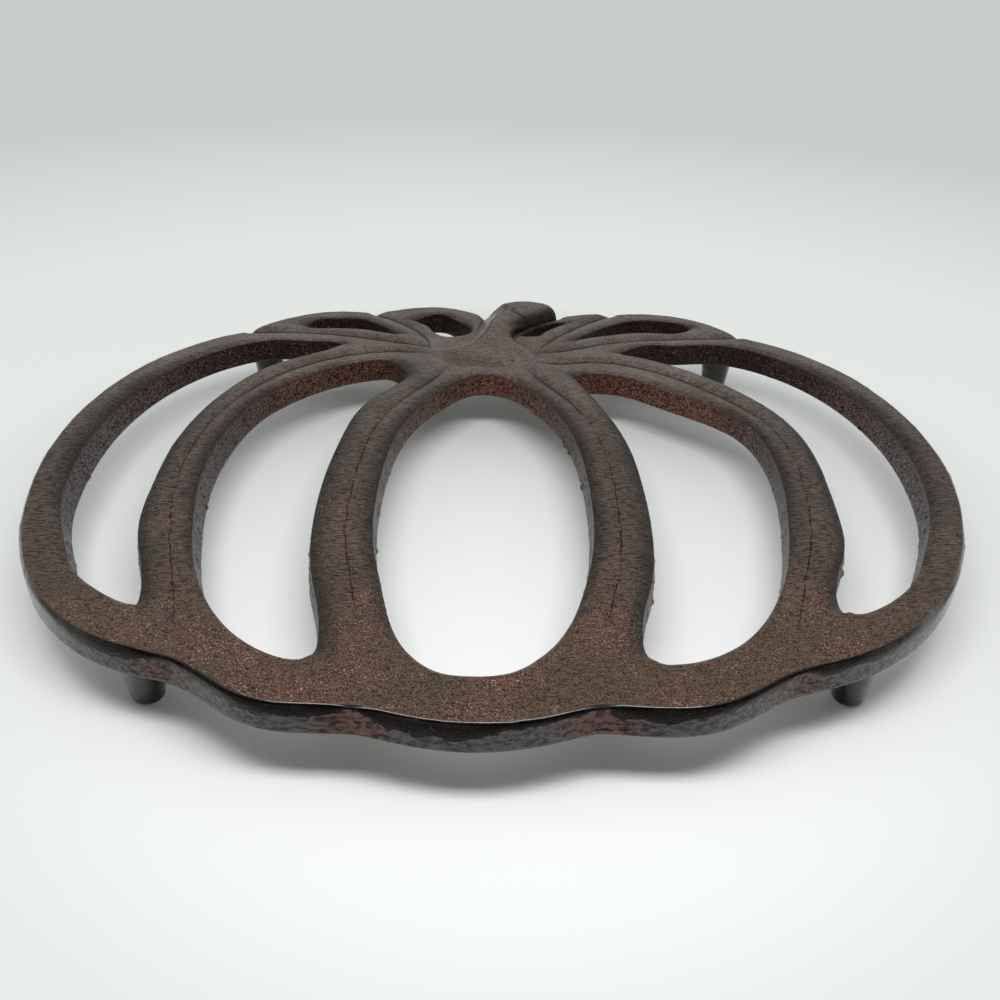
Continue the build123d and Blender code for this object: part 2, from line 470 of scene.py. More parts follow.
def segment_mesh(name):
    """Surface of one ring: its section is carried round the opening, column by column.

    A column joins a point of the outer outline to the point of the opening that it faces.  Along it
    the section climbs the inner wall, crosses the top, goes down the outer wall and returns below.
    """
    loop, hole = outlines[name][:2]
    sides = []
    for side in sides_of(loop):
        sides.append(even_points(side, max(4, round(run_length(side)[-1] / column_step)))[:-1])
    outer = np.concatenate(sides)
    hole = even_points(hole, opening_points, closed=True)
    coarse = hole[::8]

    # Where the outer outline is a crease shared with a neighbour
    shared = apart(outer, name) < join_reach
    bound = shared & np.roll(shared, 1) & np.roll(shared, -1)
    at_dip = [np.linalg.norm(outer - corner, axis=1) < join_reach for corner, out, slope in dips]
    outer = softened(outer)
    ahead = np.roll(outer, -1, axis=0) - np.roll(outer, 1, axis=0)
    outward = np.stack([ahead[:, 1], -ahead[:, 0]], axis=1) / np.linalg.norm(ahead, axis=1)[:, None]
    for there, (corner, out, slope) in zip(at_dip, dips):
        outward[there] = out
    rim = outer + np.where(shared, join_overlap, 0)[:, None] * outward
    rim = np.clip(rim, np.array(cad_box[0])[:2], np.array(cad_box[1])[:2])

    # The opening's points that the columns face, and the way from there into the iron
    at = (facing_share(outer, coarse) % 1) * opening_points
    near = at.astype(int) % opening_points
    part = (at - np.floor(at))[:, None]
    inner = hole[near] * (1 - part) + hole[(near + 1) % opening_points] * part
    along = hole[(near + 3) % opening_points] - hole[near - 2]
    into = np.stack([along[:, 1], -along[:, 0]], axis=1) / np.linalg.norm(along, axis=1)[:, None]
    near_side = ease(-near_side_spread * into[:, 1])
    left_fill, middle_fill, right_fill = front_end_fill.get(name, (0, 0, 0))
    nearer = np.minimum(into[:, 1], 0)
    fill = np.where(into[:, 0] < 0, left_fill, right_fill) * 4 * (into[:, 0] * nearer) ** 2
    fill = fill + middle_fill * np.maximum(nearer ** 2 - into[:, 0] ** 2, 0) ** 2
    fill = fill * ease((fill_start - inner[:, 1]) / fill_fade)
    inner = inner - evened(fill[:, None] * into, fill_waves)
    draft = edge_back * (1 - near_side)
    outwards = np.clip(into[:, 0] * np.sign(inner[:, 0]), 0, 1) ** 2
    foot = usual_foot + (wall_feet.get(name, usual_foot) - usual_foot) * outwards * (1 - near_side)
    if np.ptp(hole, axis=0).max() < small_opening:
        foot = small_foot + 0 * foot

    # Top of the ring
    edge = inner + draft[:, None] * into
    t = (1 - np.cos(np.pi * np.arange(top_stations) / (top_stations - 1))) / 2
    plan = edge + t[:, None, None] * (rim - edge)
    shape = plan.shape[:2]
    after = np.roll(np.arange(len(outer)), -1)
    joint = shared & shared[after]
    from_hole = distance_field(plan, edge[::2])
    from_crease = np.full(shape, 1.0)
    from_rim = np.full(shape, 1.0)
    if joint.any():
        from_crease = np.stack([distance_to(row, outer[joint], outer[after[joint]]) for row in plan])
    if (~joint).any():
        from_rim = np.stack([distance_to(row, outer[~joint], outer[after[~joint]]) for row in plan])
    from_stem = distance_field(plan, outlines["stem"][0])
    border = np.linalg.norm(rim - edge, axis=1)
    across = into[:, 0] ** 2 * (1 - near_side)
    width = np.minimum(crown_width, crown_share * border) * (end_crown + (1 - end_crown) * across)
    crown = crown_drop * (width / crown_width) ** 0.8
    fall = crown * np.clip(1 - from_hole / width, 0, 1) ** crown_power
    over = np.clip(1 - from_rim / rim_width, 0, 1)
    fall = fall + rim_fall(over, plan)
    x, y = plan[..., 0], plan[..., 1]
    aside = hairline_aside * np.sign(outward[:, 0]) * cast_noise(x, y, hairline_sway, seed=16)
    from_line = np.abs(from_crease - aside)
    fall = fall + crease_depth(from_crease, from_line, plan)
    fall = fall + root_depth * np.exp(-(from_stem / root_width) ** 2)
    top = plate_top - skin_drop - fall + skin_relief(x, y)
    top_grid = np.concatenate([plan, top[..., None]], axis=2)

    # Inner wall, rough from the sand, with burrs at its lower edge
    climb = np.linspace(0, 1, wall_stations, endpoint=False)[:, None]
    around = run_length(inner)[None] + 0 * climb
    level = plate_low + climb * (top[0] - plate_low)
    lean = draft * climb - foot * (1 - climb)
    grit = cast_noise(around, level, fine_grit, seed=3)
    grit = grit + coarse_share * cast_noise(around, level, coarse_grit, seed=7)
    lean = lean - grit_depth * grit * ease(5 * climb) * ease(4 * (1 - climb))
    burr = np.clip(cast_noise(around, 0 * around, burr_spacing, seed=4) - burr_rare, 0, burr_most)
    burr = burr * (1 - near_side) ** 2
    lean = lean - burr_depth * burr * np.exp(-((climb - burr_level) / burr_level) ** 2)
    lean[0] = lean[0] + low_edge
    wall_grid = np.concatenate([inner + lean[..., None] * into, level[..., None]], axis=2)

    # Outer wall, upright, with a broken lower edge, and the underside
    drop = 1 - np.linspace(0, 1, wall_stations)[1:, None]
    level = plate_low + drop * (top[-1] - plate_low)
    grit = np.abs(cast_noise(outer[:, 0] + 0 * drop, outer[:, 1] + level, outer_grit, seed=6))
    lean = np.where(bound, 0, -outer_grit_depth * grit * ease(2.5 * (1 - drop)))
    lean[-1] = np.where(bound, 0, -low_edge)
    outer_grid = np.concatenate([rim + lean[..., None] * outward, level[..., None]], axis=2)
    inwards = np.linspace(0, 1, under_stations + 2)[1:-1, None, None]
    under_plan = outer_grid[-1, :, :2] * (1 - inwards) + wall_grid[0, :, :2] * inwards
    under_grid = np.concatenate([under_plan, np.full(under_plan.shape[:2] + (1,), plate_low)], axis=2)

    grid = np.concatenate([wall_grid, top_grid, outer_grid, under_grid])
    stations, columns = grid.shape[:2]
    here = np.arange(stations * columns).reshape(stations, columns)
    above = np.roll(here, -1, axis=0)
    quads = np.stack([here, np.roll(here, -1, axis=1), np.roll(above, -1, axis=1), above], axis=-1)
    mesh = new_mesh(name + "_cast", grid.reshape(-1, 3), quads.reshape(-1, 4))

    # Marks for the material, on the inner wall, the top and the outer wall
    first = wall_stations + top_stations
    on_top = slice(wall_stations, first)
    on_outer = slice(first, first + len(drop))
    marks = {label: np.zeros((stations, columns)) for label in labels}
    marks["inner_wall_and_shade"][:wall_stations] = 1
    marks["inner_wall_and_shade"][wall_stations] = 0.5
    marks["far_wall"][:wall_stations + 1] = np.clip(into[:, 1], 0, 1)
    # Painted shade: the top beside the stem's right side, where the stem stands clear, takes the inner
    # wall's dark colour
    shaded = ease(1.6 - from_stem / stem_shade) * ease((y - stem_clear) / stem_clear_fade) * (x > 0)
    marks["inner_wall_and_shade"][on_top] = np.maximum(marks["inner_wall_and_shade"][on_top], shaded)
    from_dip = np.min([np.linalg.norm(outer - corner, axis=1) for corner, out, slope in dips], axis=0)
    outer_x, outer_y = outer[:, 0] + 0 * drop, outer[:, 1] + 0 * drop
    band = band_width + band_change * cast_noise(outer_x, outer_y, band_swell, seed=17)
    band = band + band_ragged * cast_noise(outer_x, outer_y + drop * band_climb, band_fray, seed=18)
    band = np.maximum(band, band_least)
    lacquered = 1 - lacquer_worn * ease((outer[:, 1] - lacquer_end) / lacquer_fade)
    marks["ground"][on_outer] = np.where(bound, 0, ease((ground_start - band - drop) / ground_fade))
    marks["outer_wall"][on_outer] = np.where(bound, 0, 1)
    marks["outer_wall"][on_top] = ease((over - dull_start) / dull_fade)
    marks["edge"][on_top] = ease(2.2 * over)
    marks["edge"][on_outer] = np.where(bound, 0, lacquered)
    marks["dip"][on_outer] = np.exp(-(from_dip / dip_rust) ** 2)
    open_valley = valley_share(y)
    # Painted shade along the hairlines and in the open valleys, with a red halo beside them
    painted = np.clip(paint_start - from_line / hairline_paint, 0, 1)
    marks["hairline"][on_top] = np.clip(hairline_share(plan), 0, 1) * off_crown(plan) * painted
    halo = (1 - open_valley) * rib_share(y) * np.exp(-(from_crease / halo_width) ** 2)
    marks["halo"][on_top] = halo
    marks["valley"][on_top] = open_valley * off_crown(plan) * np.exp(-(from_crease / valley_paint) ** 2)
    # Painted shade on the shoulders of the ribs, where the top falls off to the opening
    marks["shoulder"][on_top] = across * np.clip(1 - from_hole / (shoulder_shade_reach * width), 0, 1)
    for label in marks:
        mark(mesh, label, marks[label])

    # A shared wall has sharp edges above and below, and so has the upright line at the end of a joint,
    # so that the shading runs on into the neighbour
    seam = np.zeros((stations, columns), bool)
    seam[first - 1] = shared
    base = np.zeros((stations, columns), bool)
    base[first + len(drop) - 1] = shared
    upright = np.zeros((stations, columns), bool)
    upright[first - 1:first + len(drop)] = shared & ~bound
    sharpen(mesh, seam, base, upright)
    return mesh


def add_node(tree, kind, inputs=(), **settings):
    """Adds a node to a tree, with its settings, its plain input values and its incoming links."""
    node = tree.nodes.new(kind)
    for key, value in settings.items():
        setattr(node, key, value)
    for key, value in dict(inputs).items():
        if isinstance(value, bpy.types.NodeSocket):
            tree.links.new(value, node.inputs[key])
        else:
            node.inputs[key].default_value = value
    return node


def new_group(name, inputs, outputs):
    """An empty shader node group with float inputs, each with its usual value, and float outputs."""
    tree = bpy.data.node_groups.new(name, "ShaderNodeTree")
    for label, usual in inputs.items():
        socket = tree.interface.new_socket(label, in_out="INPUT", socket_type="NodeSocketFloat")
        socket.default_value = usual
    for label in outputs:
        tree.interface.new_socket(label, in_out="OUTPUT", socket_type="NodeSocketFloat")
    return tree, tree.nodes.new("NodeGroupInput").outputs, tree.nodes.new("NodeGroupOutput").inputs


def ranged(tree, value, low, high, to_low=0.0, to_high=1.0):
    """A value taken from one range to another, and held at the ends of it."""
    limits = {"From Min": low, "From Max": high, "To Min": to_low, "To Max": to_high}
    return add_node(tree, "ShaderNodeMapRange", {"Value": value, **limits}).outputs["Result"]


def worked(tree, operation, first, second):
    """Two values put together by one operation of arithmetic."""
    return add_node(tree, "ShaderNodeMath", {0: first, 1: second}, operation=operation).outputs["Value"]


def times(tree, first, second):
    """Product of two values."""
    return worked(tree, "MULTIPLY", first, second)


def larger(tree, first, second):
    """The larger of two values."""
    return worked(tree, "MAXIMUM", first, second)


def blended(tree, factor, first, second):
    """One value blended over another by a factor."""
    inputs = {"Factor": factor, "A": first, "B": second}
    return add_node(tree, "ShaderNodeMix", inputs).outputs["Result"]


def mixed(tree, factor, first, second):
    """One colour mixed over another by a factor."""
    inputs = {"Factor": factor, 6: first, 7: second}
    return add_node(tree, "ShaderNodeMix", inputs, data_type="RGBA").outputs[2]


def sand_grain_group():
    """Relief and specks that the sand of the mould leaves on iron; the specks serve as painted glints as
    well.

    Fine grain is noise with the grain's spacing, streaks are the same noise drawn out across the ribs,
    and specks are the few places where a finer noise rises above its usual level.
    """
    tree, given, out = new_group(
        "sand_grain", {"Grain": 1900.0, "Specks": 0.66}, ("Grain", "Streak", "Speck", "Patch"))
    place = add_node(tree, "ShaderNodeTexCoord").outputs["Object"]
    fine = add_node(tree, "ShaderNodeTexNoise", {
        "Vector": place, "Scale": given["Grain"], "Detail": 3.0, "Roughness": 0.65})
    drawn = add_node(tree, "ShaderNodeMapping", {"Vector": place, "Scale": (0.24, 1.0, 0.6)})
    streak = add_node(tree, "ShaderNodeTexNoise", {
        "Vector": drawn.outputs["Vector"], "Scale": 2300.0, "Detail": 3.0, "Roughness": 0.6})
    glint_dust = add_node(tree, "ShaderNodeTexNoise", {
        "Vector": place, "Scale": 3300.0, "Detail": 1.0, "Roughness": 0.5})
    speck = ranged(tree, glint_dust.outputs["Fac"], given["Specks"], worked(tree, "ADD", given["Specks"], 0.08))
    patch = add_node(tree, "ShaderNodeTexNoise", {
        "Vector": place, "Scale": 95.0, "Detail": 4.0, "Roughness": 0.6})
    speck = times(tree, speck, ranged(tree, patch.outputs["Fac"], 0.42, 0.6, 0.25, 1.0))
    tree.links.new(fine.outputs["Fac"], out["Grain"])
    tree.links.new(streak.outputs["Fac"], out["Streak"])
    tree.links.new(speck, out["Speck"])
    tree.links.new(patch.outputs["Fac"], out["Patch"])
    return tree


sand_grain = sand_grain_group()


# Colours of the finish and of the painted shade, sheen and glints; the lacquer has a darker and a lighter
# one, for its patches
rib_brown = ((0.072, 0.046, 0.030, 1), (0.115, 0.065, 0.042, 1))
front_brown = ((0.098, 0.058, 0.029, 1), (0.138, 0.058, 0.031, 1))
# Paler and greyer at the rear: partly wear, partly painted sheen
worn_and_sheen_brown = ((0.180, 0.128, 0.096, 1), (0.310, 0.248, 0.208, 1))
# Painted shade on the rib shoulders
shoulder_shade_black = (0.018, 0.017, 0.011, 1)
pit_black = (0.010, 0.007, 0.005, 1)
# Painted shade in the valleys and in the hairlines
valley_shade_black = (0.010, 0.007, 0.006, 1)
hairline_shade_black = (0.006, 0.004, 0.004, 1)
edge_black = (0.006, 0.004, 0.003, 1)
halo_red = (0.130, 0.058, 0.038, 1)
# Grey of the side walls: sand, and partly painted sheen
side_wall_sheen_grey = (0.125, 0.108, 0.104, 1)
far_wall_red = (0.205, 0.076, 0.045, 1)
back_wall_brown = (0.022, 0.013, 0.010, 1)
outer_wall_brown = (0.030, 0.014, 0.010, 1)
wall_pit_black = (0.010, 0.005, 0.004, 1)
ground_grey = (0.082, 0.067, 0.069, 1)
dip_rust_red = (0.112, 0.042, 0.024, 1)
scale_black = (0.010, 0.006, 0.006, 1)
# Pale specks: partly painted glints, partly dust
glint_and_dust_tan = (0.50, 0.40, 0.33, 1)

# Places between which a finish comes in: along the plate, and for the last one out from its middle
front_places = (-35 * mm, -62 * mm)
rear_places = (0 * mm, 55 * mm)
back_wall_places = (30 * mm, 55 * mm)
far_out_places = (45 * mm, 60 * mm)
bump_reach = 0.5 * mm


def brown_iron(name, grain, relief):
    """Brown lacquer over grey iron, worked out from the sand's grain and the marks of the mesh.

    The lacquer is patchy brown with streaks across it, redder on the front band, and paler and greyer
    at the rear, partly from wear and partly as painted sheen.  Painted shade makes it nearly black on the
    shoulders, in the hairlines and in the valleys.  The inner walls are sandy, red on the far side, and
    their grey on the sides is partly painted sheen; their colour is also painted as shade beside the stem.
    The round edge is black and glossy, and below it the outer wall is ground grey, with rust at the dips.
    The bottoms of pits and streaks are bare dark iron.  Pale specks are partly painted glints and partly
    dust.
    """
    material = bpy.data.materials.new(name)
    material.use_nodes = True
    tree = material.node_tree
    shader = tree.nodes["Principled BSDF"]
    sand = add_node(tree, "ShaderNodeGroup", node_tree=sand_grain)
    marks = {}
    for label in labels:
        marks[label] = add_node(tree, "ShaderNodeAttribute", attribute_name=label).outputs["Fac"]
    place = add_node(tree, "ShaderNodeTexCoord").outputs["Object"]
    place = add_node(tree, "ShaderNodeSeparateXYZ", {"Vector": place}).outputs
    depth = place["Y"]
    aside = add_node(tree, "ShaderNodeMath", {0: place["X"]}, operation="ABSOLUTE").outputs["Value"]
    front = ranged(tree, depth, *front_places)
    rear = ranged(tree, depth, *rear_places)

    # Grain: coarser on the inner walls, with more specks, partly painted glints, there and on the front
    # band
    tree.links.new(ranged(tree, marks["inner_wall_and_shade"], 0.0, 1.0, grain, 0.65 * grain), sand.inputs["Grain"])
    sandy = larger(tree, front, marks["inner_wall_and_shade"])
    tree.links.new(ranged(tree, sandy, 0.0, 1.0, 0.68, 0.635), sand.inputs["Specks"])
    grains, streaks, specks, patches = (
        sand.outputs[label] for label in ("Grain", "Streak", "Speck", "Patch"))
    streaky = ranged(tree, larger(tree, front, rear), 0.0, 1.0, 0.75, 0.3)
    height = blended(tree, streaky, grains, streaks)

    # Top: brown, redder at the front, paler and greyer at the rear from wear and painted sheen, with
    # painted shade in the valleys and on the shoulders, a red halo by the creases, and dark pits
    patch = ranged(tree, patches, 0.35, 0.65)
    colour = mixed(tree, patch, *rib_brown)
    colour = mixed(tree, times(tree, front, 0.9), colour, mixed(tree, patch, *front_brown))
    colour = mixed(tree, times(tree, rear, 0.85), colour, mixed(tree, patch, *worn_and_sheen_brown))
    colour = mixed(tree, times(tree, marks["valley"], 0.85), colour, valley_shade_black)
    colour = mixed(tree, times(tree, marks["halo"], 0.4), colour, halo_red)
    colour = mixed(tree, times(tree, marks["shoulder"], 0.95), colour, shoulder_shade_black)
    pits = times(tree, ranged(tree, height, 0.42, 0.54, 1.0, 0.0), ranged(tree, rear, 0.0, 1.0, 0.95, 0.75))
    colour = mixed(tree, pits, colour, pit_black)

    # Inner walls: sandy grey on the sides, partly painted sheen, red on the far side, brown at the back and
    # far out, with black pits
    wall = mixed(tree, marks["far_wall"], side_wall_sheen_grey, far_wall_red)
    wall = mixed(tree, ranged(tree, depth, *back_wall_places, 0.0, 0.9), wall, back_wall_brown)
    far_out = times(tree, marks["far_wall"], ranged(tree, aside, *far_out_places, 0.0, 0.85))
    wall = mixed(tree, far_out, wall, outer_wall_brown)
    wall_pits = ranged(tree, grains, 0.40, 0.55, 0.9, 0.0)
    wall = mixed(tree, wall_pits, wall, wall_pit_black)
    # The inner wall's colour is also painted as shade on the top beside the stem and on the stem's steep
    # side
    colour = mixed(tree, marks["inner_wall_and_shade"], colour, wall)
    bare_iron = blended(tree, marks["inner_wall_and_shade"], times(tree, pits, 0.65), wall_pits)

    # Round edge: black with a ragged border, and below it the ground wall, with rust at the dips
    ragged = ranged(tree, worked(tree, "ADD", marks["edge"], streaks), 0.85, 1.2)
    colour = mixed(tree, ragged, colour, edge_black)
    bare_iron = larger(tree, bare_iron, ragged)
    rusty = ranged(tree, marks["dip"], 0.2, 0.8)
    scale = ranged(tree, streaks, 0.42, 0.56, 1.0, 0.0)
    scale = times(tree, scale, ranged(tree, rusty, 0.0, 1.0, 0.75, 1.0))
    ground = mixed(tree, scale, mixed(tree, rusty, ground_grey, dip_rust_red), scale_black)
    torn = ranged(tree, worked(tree, "ADD", marks["ground"], times(tree, streaks, 2.0)), 1.3, 1.6)
    colour = mixed(tree, torn, colour, ground)
    bare_iron = blended(tree, torn, bare_iron, scale)

    # Painted shade in the hairlines, and pale specks over all of it, partly painted glints and partly dust
    colour = mixed(tree, times(tree, marks["hairline"], 0.7), colour, hairline_shade_black)
    glint_dust = times(tree, specks, ranged(tree, marks["edge"], 0.0, 1.0, 0.75, 0.1))
    colour = mixed(tree, glint_dust, colour, glint_and_dust_tan)

    # Gloss: the grain's tops are smoother, and a clear coat lies on the edge and thinly on the top
    gloss = ranged(tree, grains, 0.3, 0.7, 0.44, 0.24)
    gloss = times(tree, gloss, ranged(tree, marks["edge"], 0.0, 1.0, 1.0, 0.45))
    height = times(tree, height, ranged(tree, marks["edge"], 0.0, 1.0, 1.0, 0.4))
    bump = add_node(tree, "ShaderNodeBump", {"Strength": relief, "Distance": bump_reach, "Height": height})
    lines = larger(tree, marks["hairline"], marks["valley"])
    dull = larger(tree, larger(tree, marks["shoulder"], marks["inner_wall_and_shade"]), lines)
    coat = ranged(tree, dull, 0.0, 0.6, 0.25, 0.0)
    coat = times(tree, coat, ranged(tree, bare_iron, 0.0, 1.0, 1.0, 0.0))
    lacquer = ranged(tree, marks["edge"], 0.0, 0.3)
    lacquer = times(tree, lacquer, ranged(tree, marks["outer_wall"], 0.0, 1.0, 1.0, 0.08))
    tree.links.new(colour, shader.inputs["Base Color"])
    tree.links.new(gloss, shader.inputs["Roughness"])
    tree.links.new(times(tree, bare_iron, 0.85), shader.inputs["Metallic"])
    tree.links.new(larger(tree, coat, lacquer), shader.inputs["Coat Weight"])
    tree.links.new(bump.outputs["Normal"], shader.inputs["Normal"])
    shader.inputs["Specular IOR Level"].default_value = 0.2
    shader.inputs["Coat Roughness"].default_value = 0.16
    return material


def place_piece(name, mesh, material, node):
    """Puts a finished mesh into the scene in place of its node."""
    mesh.materials.append(material)
    piece = bpy.data.objects.new(name, mesh)
    bpy.context.scene.collection.objects.link(piece)
    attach(piece, "root")
    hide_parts(node)


plate_iron = brown_iron("brown_iron_plate", grain=2700.0, relief=0.9)
for name in segments:
    place_piece(name + "_cast", segment_mesh(name), plate_iron, name)

# Stem: the raised stalk with its flared root, cast in one with the plate, in low relief.  A lip
# climbs out of the plate, the left side falls off as a shoulder, and the end is cut short.
lip_left = np.array([-12.5, 42.9]) * mm
lip_right = np.array([5.5, 42.4]) * mm
wing_right = np.array([9.8, 51.9]) * mm
end_right = np.array([16.0, 75.6]) * mm
end_left = np.array([-4.0, 74.4]) * mm
wing_left = np.array([-18.3, 54.2]) * mm
stem_rows = 80
root_columns = 22
lip_columns = 46
lip_rise = 0.55 * mm
stem_rise = 2.85 * mm
ramp_length = 22 * mm
shoulder_width = 4.0 * mm
shoulder_spread = 1.6 * mm
right_width = 3.4 * mm
root_width_in = 5.0 * mm
lip_width = 3.2 * mm
end_width = 2.4 * mm
end_groove = np.array([[3.4, 73.0], [3.8, 71.4], [5.0, 70.0], [7.0, 69.1]]) * mm
groove_depth = 0.4 * mm
groove_width = 0.55 * mm
ridge_depth = 0.3 * mm
ridge_width = 0.35 * mm
ridge_start = 50 * mm
ridge_fade = 6 * mm
ridge_stop = 3 * mm
stem_swell_depth = 0.05 * mm
stem_swell = 3.4 * mm
stem_pock_depth = 0.02 * mm
stem_pock = 1.2 * mm
lip_rust = 2.2 * mm
lip_rust_fade = 4 * mm
undercut_left = -1.5 * mm
undercut_right = 4 * mm
undercut_fade = 2 * mm
undercut_width = 0.35 * mm
steep_width = 1.7 * mm
waist_width = 0.45 * mm
waist_end = 66 * mm
waist_fade = 4 * mm


def between(loop, first, last, count):
    """Even points along a closed outline from near one place to near another."""
    start = np.linalg.norm(loop - first, axis=1).argmin()
    loop = np.roll(loop, -start, axis=0)
    stop = np.linalg.norm(loop - last, axis=1).argmin()
    return even_points(loop[:stop + 1], count)


def stem_mesh():
    """Surface of the stem: a plan patch with a height above each of its points, over a flat underside.

    The patch carries the left side over to the right one and adds what the root and the end differ
    from straight lines.  The height is the neighbours' level at the border and climbs to the full rise
    by the product of what each border allows at its distance.
    """
    loop = outlines["stem"][0]
    left_root = between(loop, wing_left, lip_left, root_columns)
    lip = between(loop, lip_left, lip_right, lip_columns)
    right_root = between(loop, lip_right, wing_right, root_columns)
    root = np.concatenate([left_root, lip[1:], right_root[1:]])
    end = between(loop, end_right, end_left, len(root))[::-1]
    right_side = between(loop, wing_right, end_right, stem_rows)
    left_side = between(loop, end_left, wing_left, stem_rows)[::-1]
    left, right = left_side[:, None], right_side[:, None]
    u = np.linspace(0, 1, stem_rows)[:, None, None]
    v = np.linspace(0, 1, len(root))[None, :, None]
    plan = (1 - v) * left + v * right + (1 - u) * root + u * end
    plan = plan - (1 - u) * ((1 - v) * root[0] + v * root[-1]) - u * ((1 - v) * end[0] + v * end[-1])
    plan = np.clip(plan, np.array(cad_box[0])[:2], np.array(cad_box[1])[:2])

    from_left = distance_field(plan, left_side, closed=False)
    from_right = distance_field(plan, right_side, closed=False)
    from_end = distance_field(plan, end, closed=False)
    from_lip = distance_field(plan, lip, closed=False)
    from_root = np.minimum(distance_field(plan, left_root, closed=False),
                           distance_field(plan, right_root, closed=False))
    from_groove = distance_field(plan, even_points(end_groove, 24), closed=False)
    x, y = plan[..., 0], plan[..., 1]
    rise = lip_rise + (stem_rise - lip_rise) * ease((y - lip[0, 1]) / ramp_length)
    spread = shoulder_width + shoulder_spread * ease((y - stem_clear) / (2 * stem_clear_fade))
    shoulder = np.clip(from_left / spread, 0, 1) ** 0.9
    right_round = np.sqrt(1 - np.clip(1 - from_right / right_width, 0, 1) ** 2)
    hold = shoulder * right_round * ease(from_lip / lip_width) * ease(from_root / root_width_in)
    end_round = np.sqrt(1 - np.clip(1 - from_end / end_width, 0, 1) ** 2)
    over = np.clip(1 - from_end / rim_width, 0, 1)
    level = plate_top - skin_drop - root_depth - (1 - hold) * crease_depth(0 * x, 0 * x + 1, plan)
    level = level - rim_fall(over, plan) * (1 - hold)
    top = level + (rise + root_depth) * hold * (0.3 + 0.7 * end_round)
    ridge = np.exp(-((from_left - spread) / ridge_width) ** 2) * ease((y - ridge_start) / ridge_fade)
    ridge = ridge * ease(from_end / ridge_stop)
    groove = np.exp(-(from_groove / groove_width) ** 2)
    top = top - groove_depth * groove * hold - ridge_depth * ridge
    rough = stem_swell_depth * cast_noise(x, y, stem_swell, seed=11)
    rough = rough + stem_pock_depth * cast_noise(x, y, stem_pock, seed=12)
    top = top + rough * hold + skin_relief(x, y) * (1 - hold)

    columns = len(root)
    below = stem_rows * columns
    grid = np.concatenate([plan, top[..., None]], axis=2)
    under = np.concatenate([plan, np.full((stem_rows, columns, 1), plate_low)], axis=2)
    here = np.arange(below).reshape(stem_rows, columns)
    quads = np.stack([here[:-1, :-1], here[:-1, 1:], here[1:, 1:], here[1:, :-1]], axis=-1).reshape(-1, 4)
    edge = np.concatenate([here[0, :-1], here[:-1, -1], here[-1, :0:-1], here[:0:-1, 0]])
    after = np.roll(edge, -1)
    wall = np.stack([edge + below, after + below, after, edge], axis=-1)
    points = np.concatenate([grid.reshape(-1, 3), under.reshape(-1, 3)])
    mesh = new_mesh("stem_cast", points, np.concatenate([quads, quads[:, ::-1] + below, wall]))

    # Marks: rust on the left of the lip, painted shade in an undercut below its middle and on the steep
    # right side, and painted shade in the lines along the ridge, the groove and the waist
    rust = np.exp(-(from_lip / lip_rust) ** 2) * ease(-x / lip_rust_fade)
    middle = ease((x - undercut_left) / undercut_fade) * ease((undercut_right - x) / undercut_fade)
    undercut_shade = np.exp(-(from_lip / undercut_width) ** 2) * middle
    steep_shade = ease(1.2 - from_right / steep_width) * ease((y - stem_clear) / stem_clear_fade)
    waist = np.exp(-(from_right / waist_width) ** 2) * ease((waist_end - y) / waist_fade)
    lines = np.maximum(np.maximum(0.8 * ridge, 0.9 * groove), np.maximum(0.9 * undercut_shade, waist))
    flat = np.zeros(below)
    mark(mesh, "hairline", np.concatenate([lines.ravel(), flat]))
    mark(mesh, "halo", np.concatenate([rust.ravel(), flat]))
    mark(mesh, "inner_wall_and_shade", np.concatenate([steep_shade.ravel(), flat]))
    border = np.zeros(2 * below, bool)
    border[edge] = True
    border[edge + below] = True
    sharpen(mesh, border)
    return mesh


place_piece("stem_cast", stem_mesh(), plate_iron, "stem")

# Feet: short tapered pegs cast with the plate, thicker at the root, with a worn round tip.  They
# carry the same lacquer, rough and dark, and stand on bare ends.
feet = sorted(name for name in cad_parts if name.startswith("foot_"))
tip_radius = 2.75 * mm
tip_round = 0.9 * mm
foot_root = 4.1 * mm
foot_flare = 1.6 * mm
foot_relief = 0.05 * mm
foot_grit = 1.5 * mm
foot_wrap = 20 * mm
foot_seed = 20
foot_stations = 30
foot_columns = 72


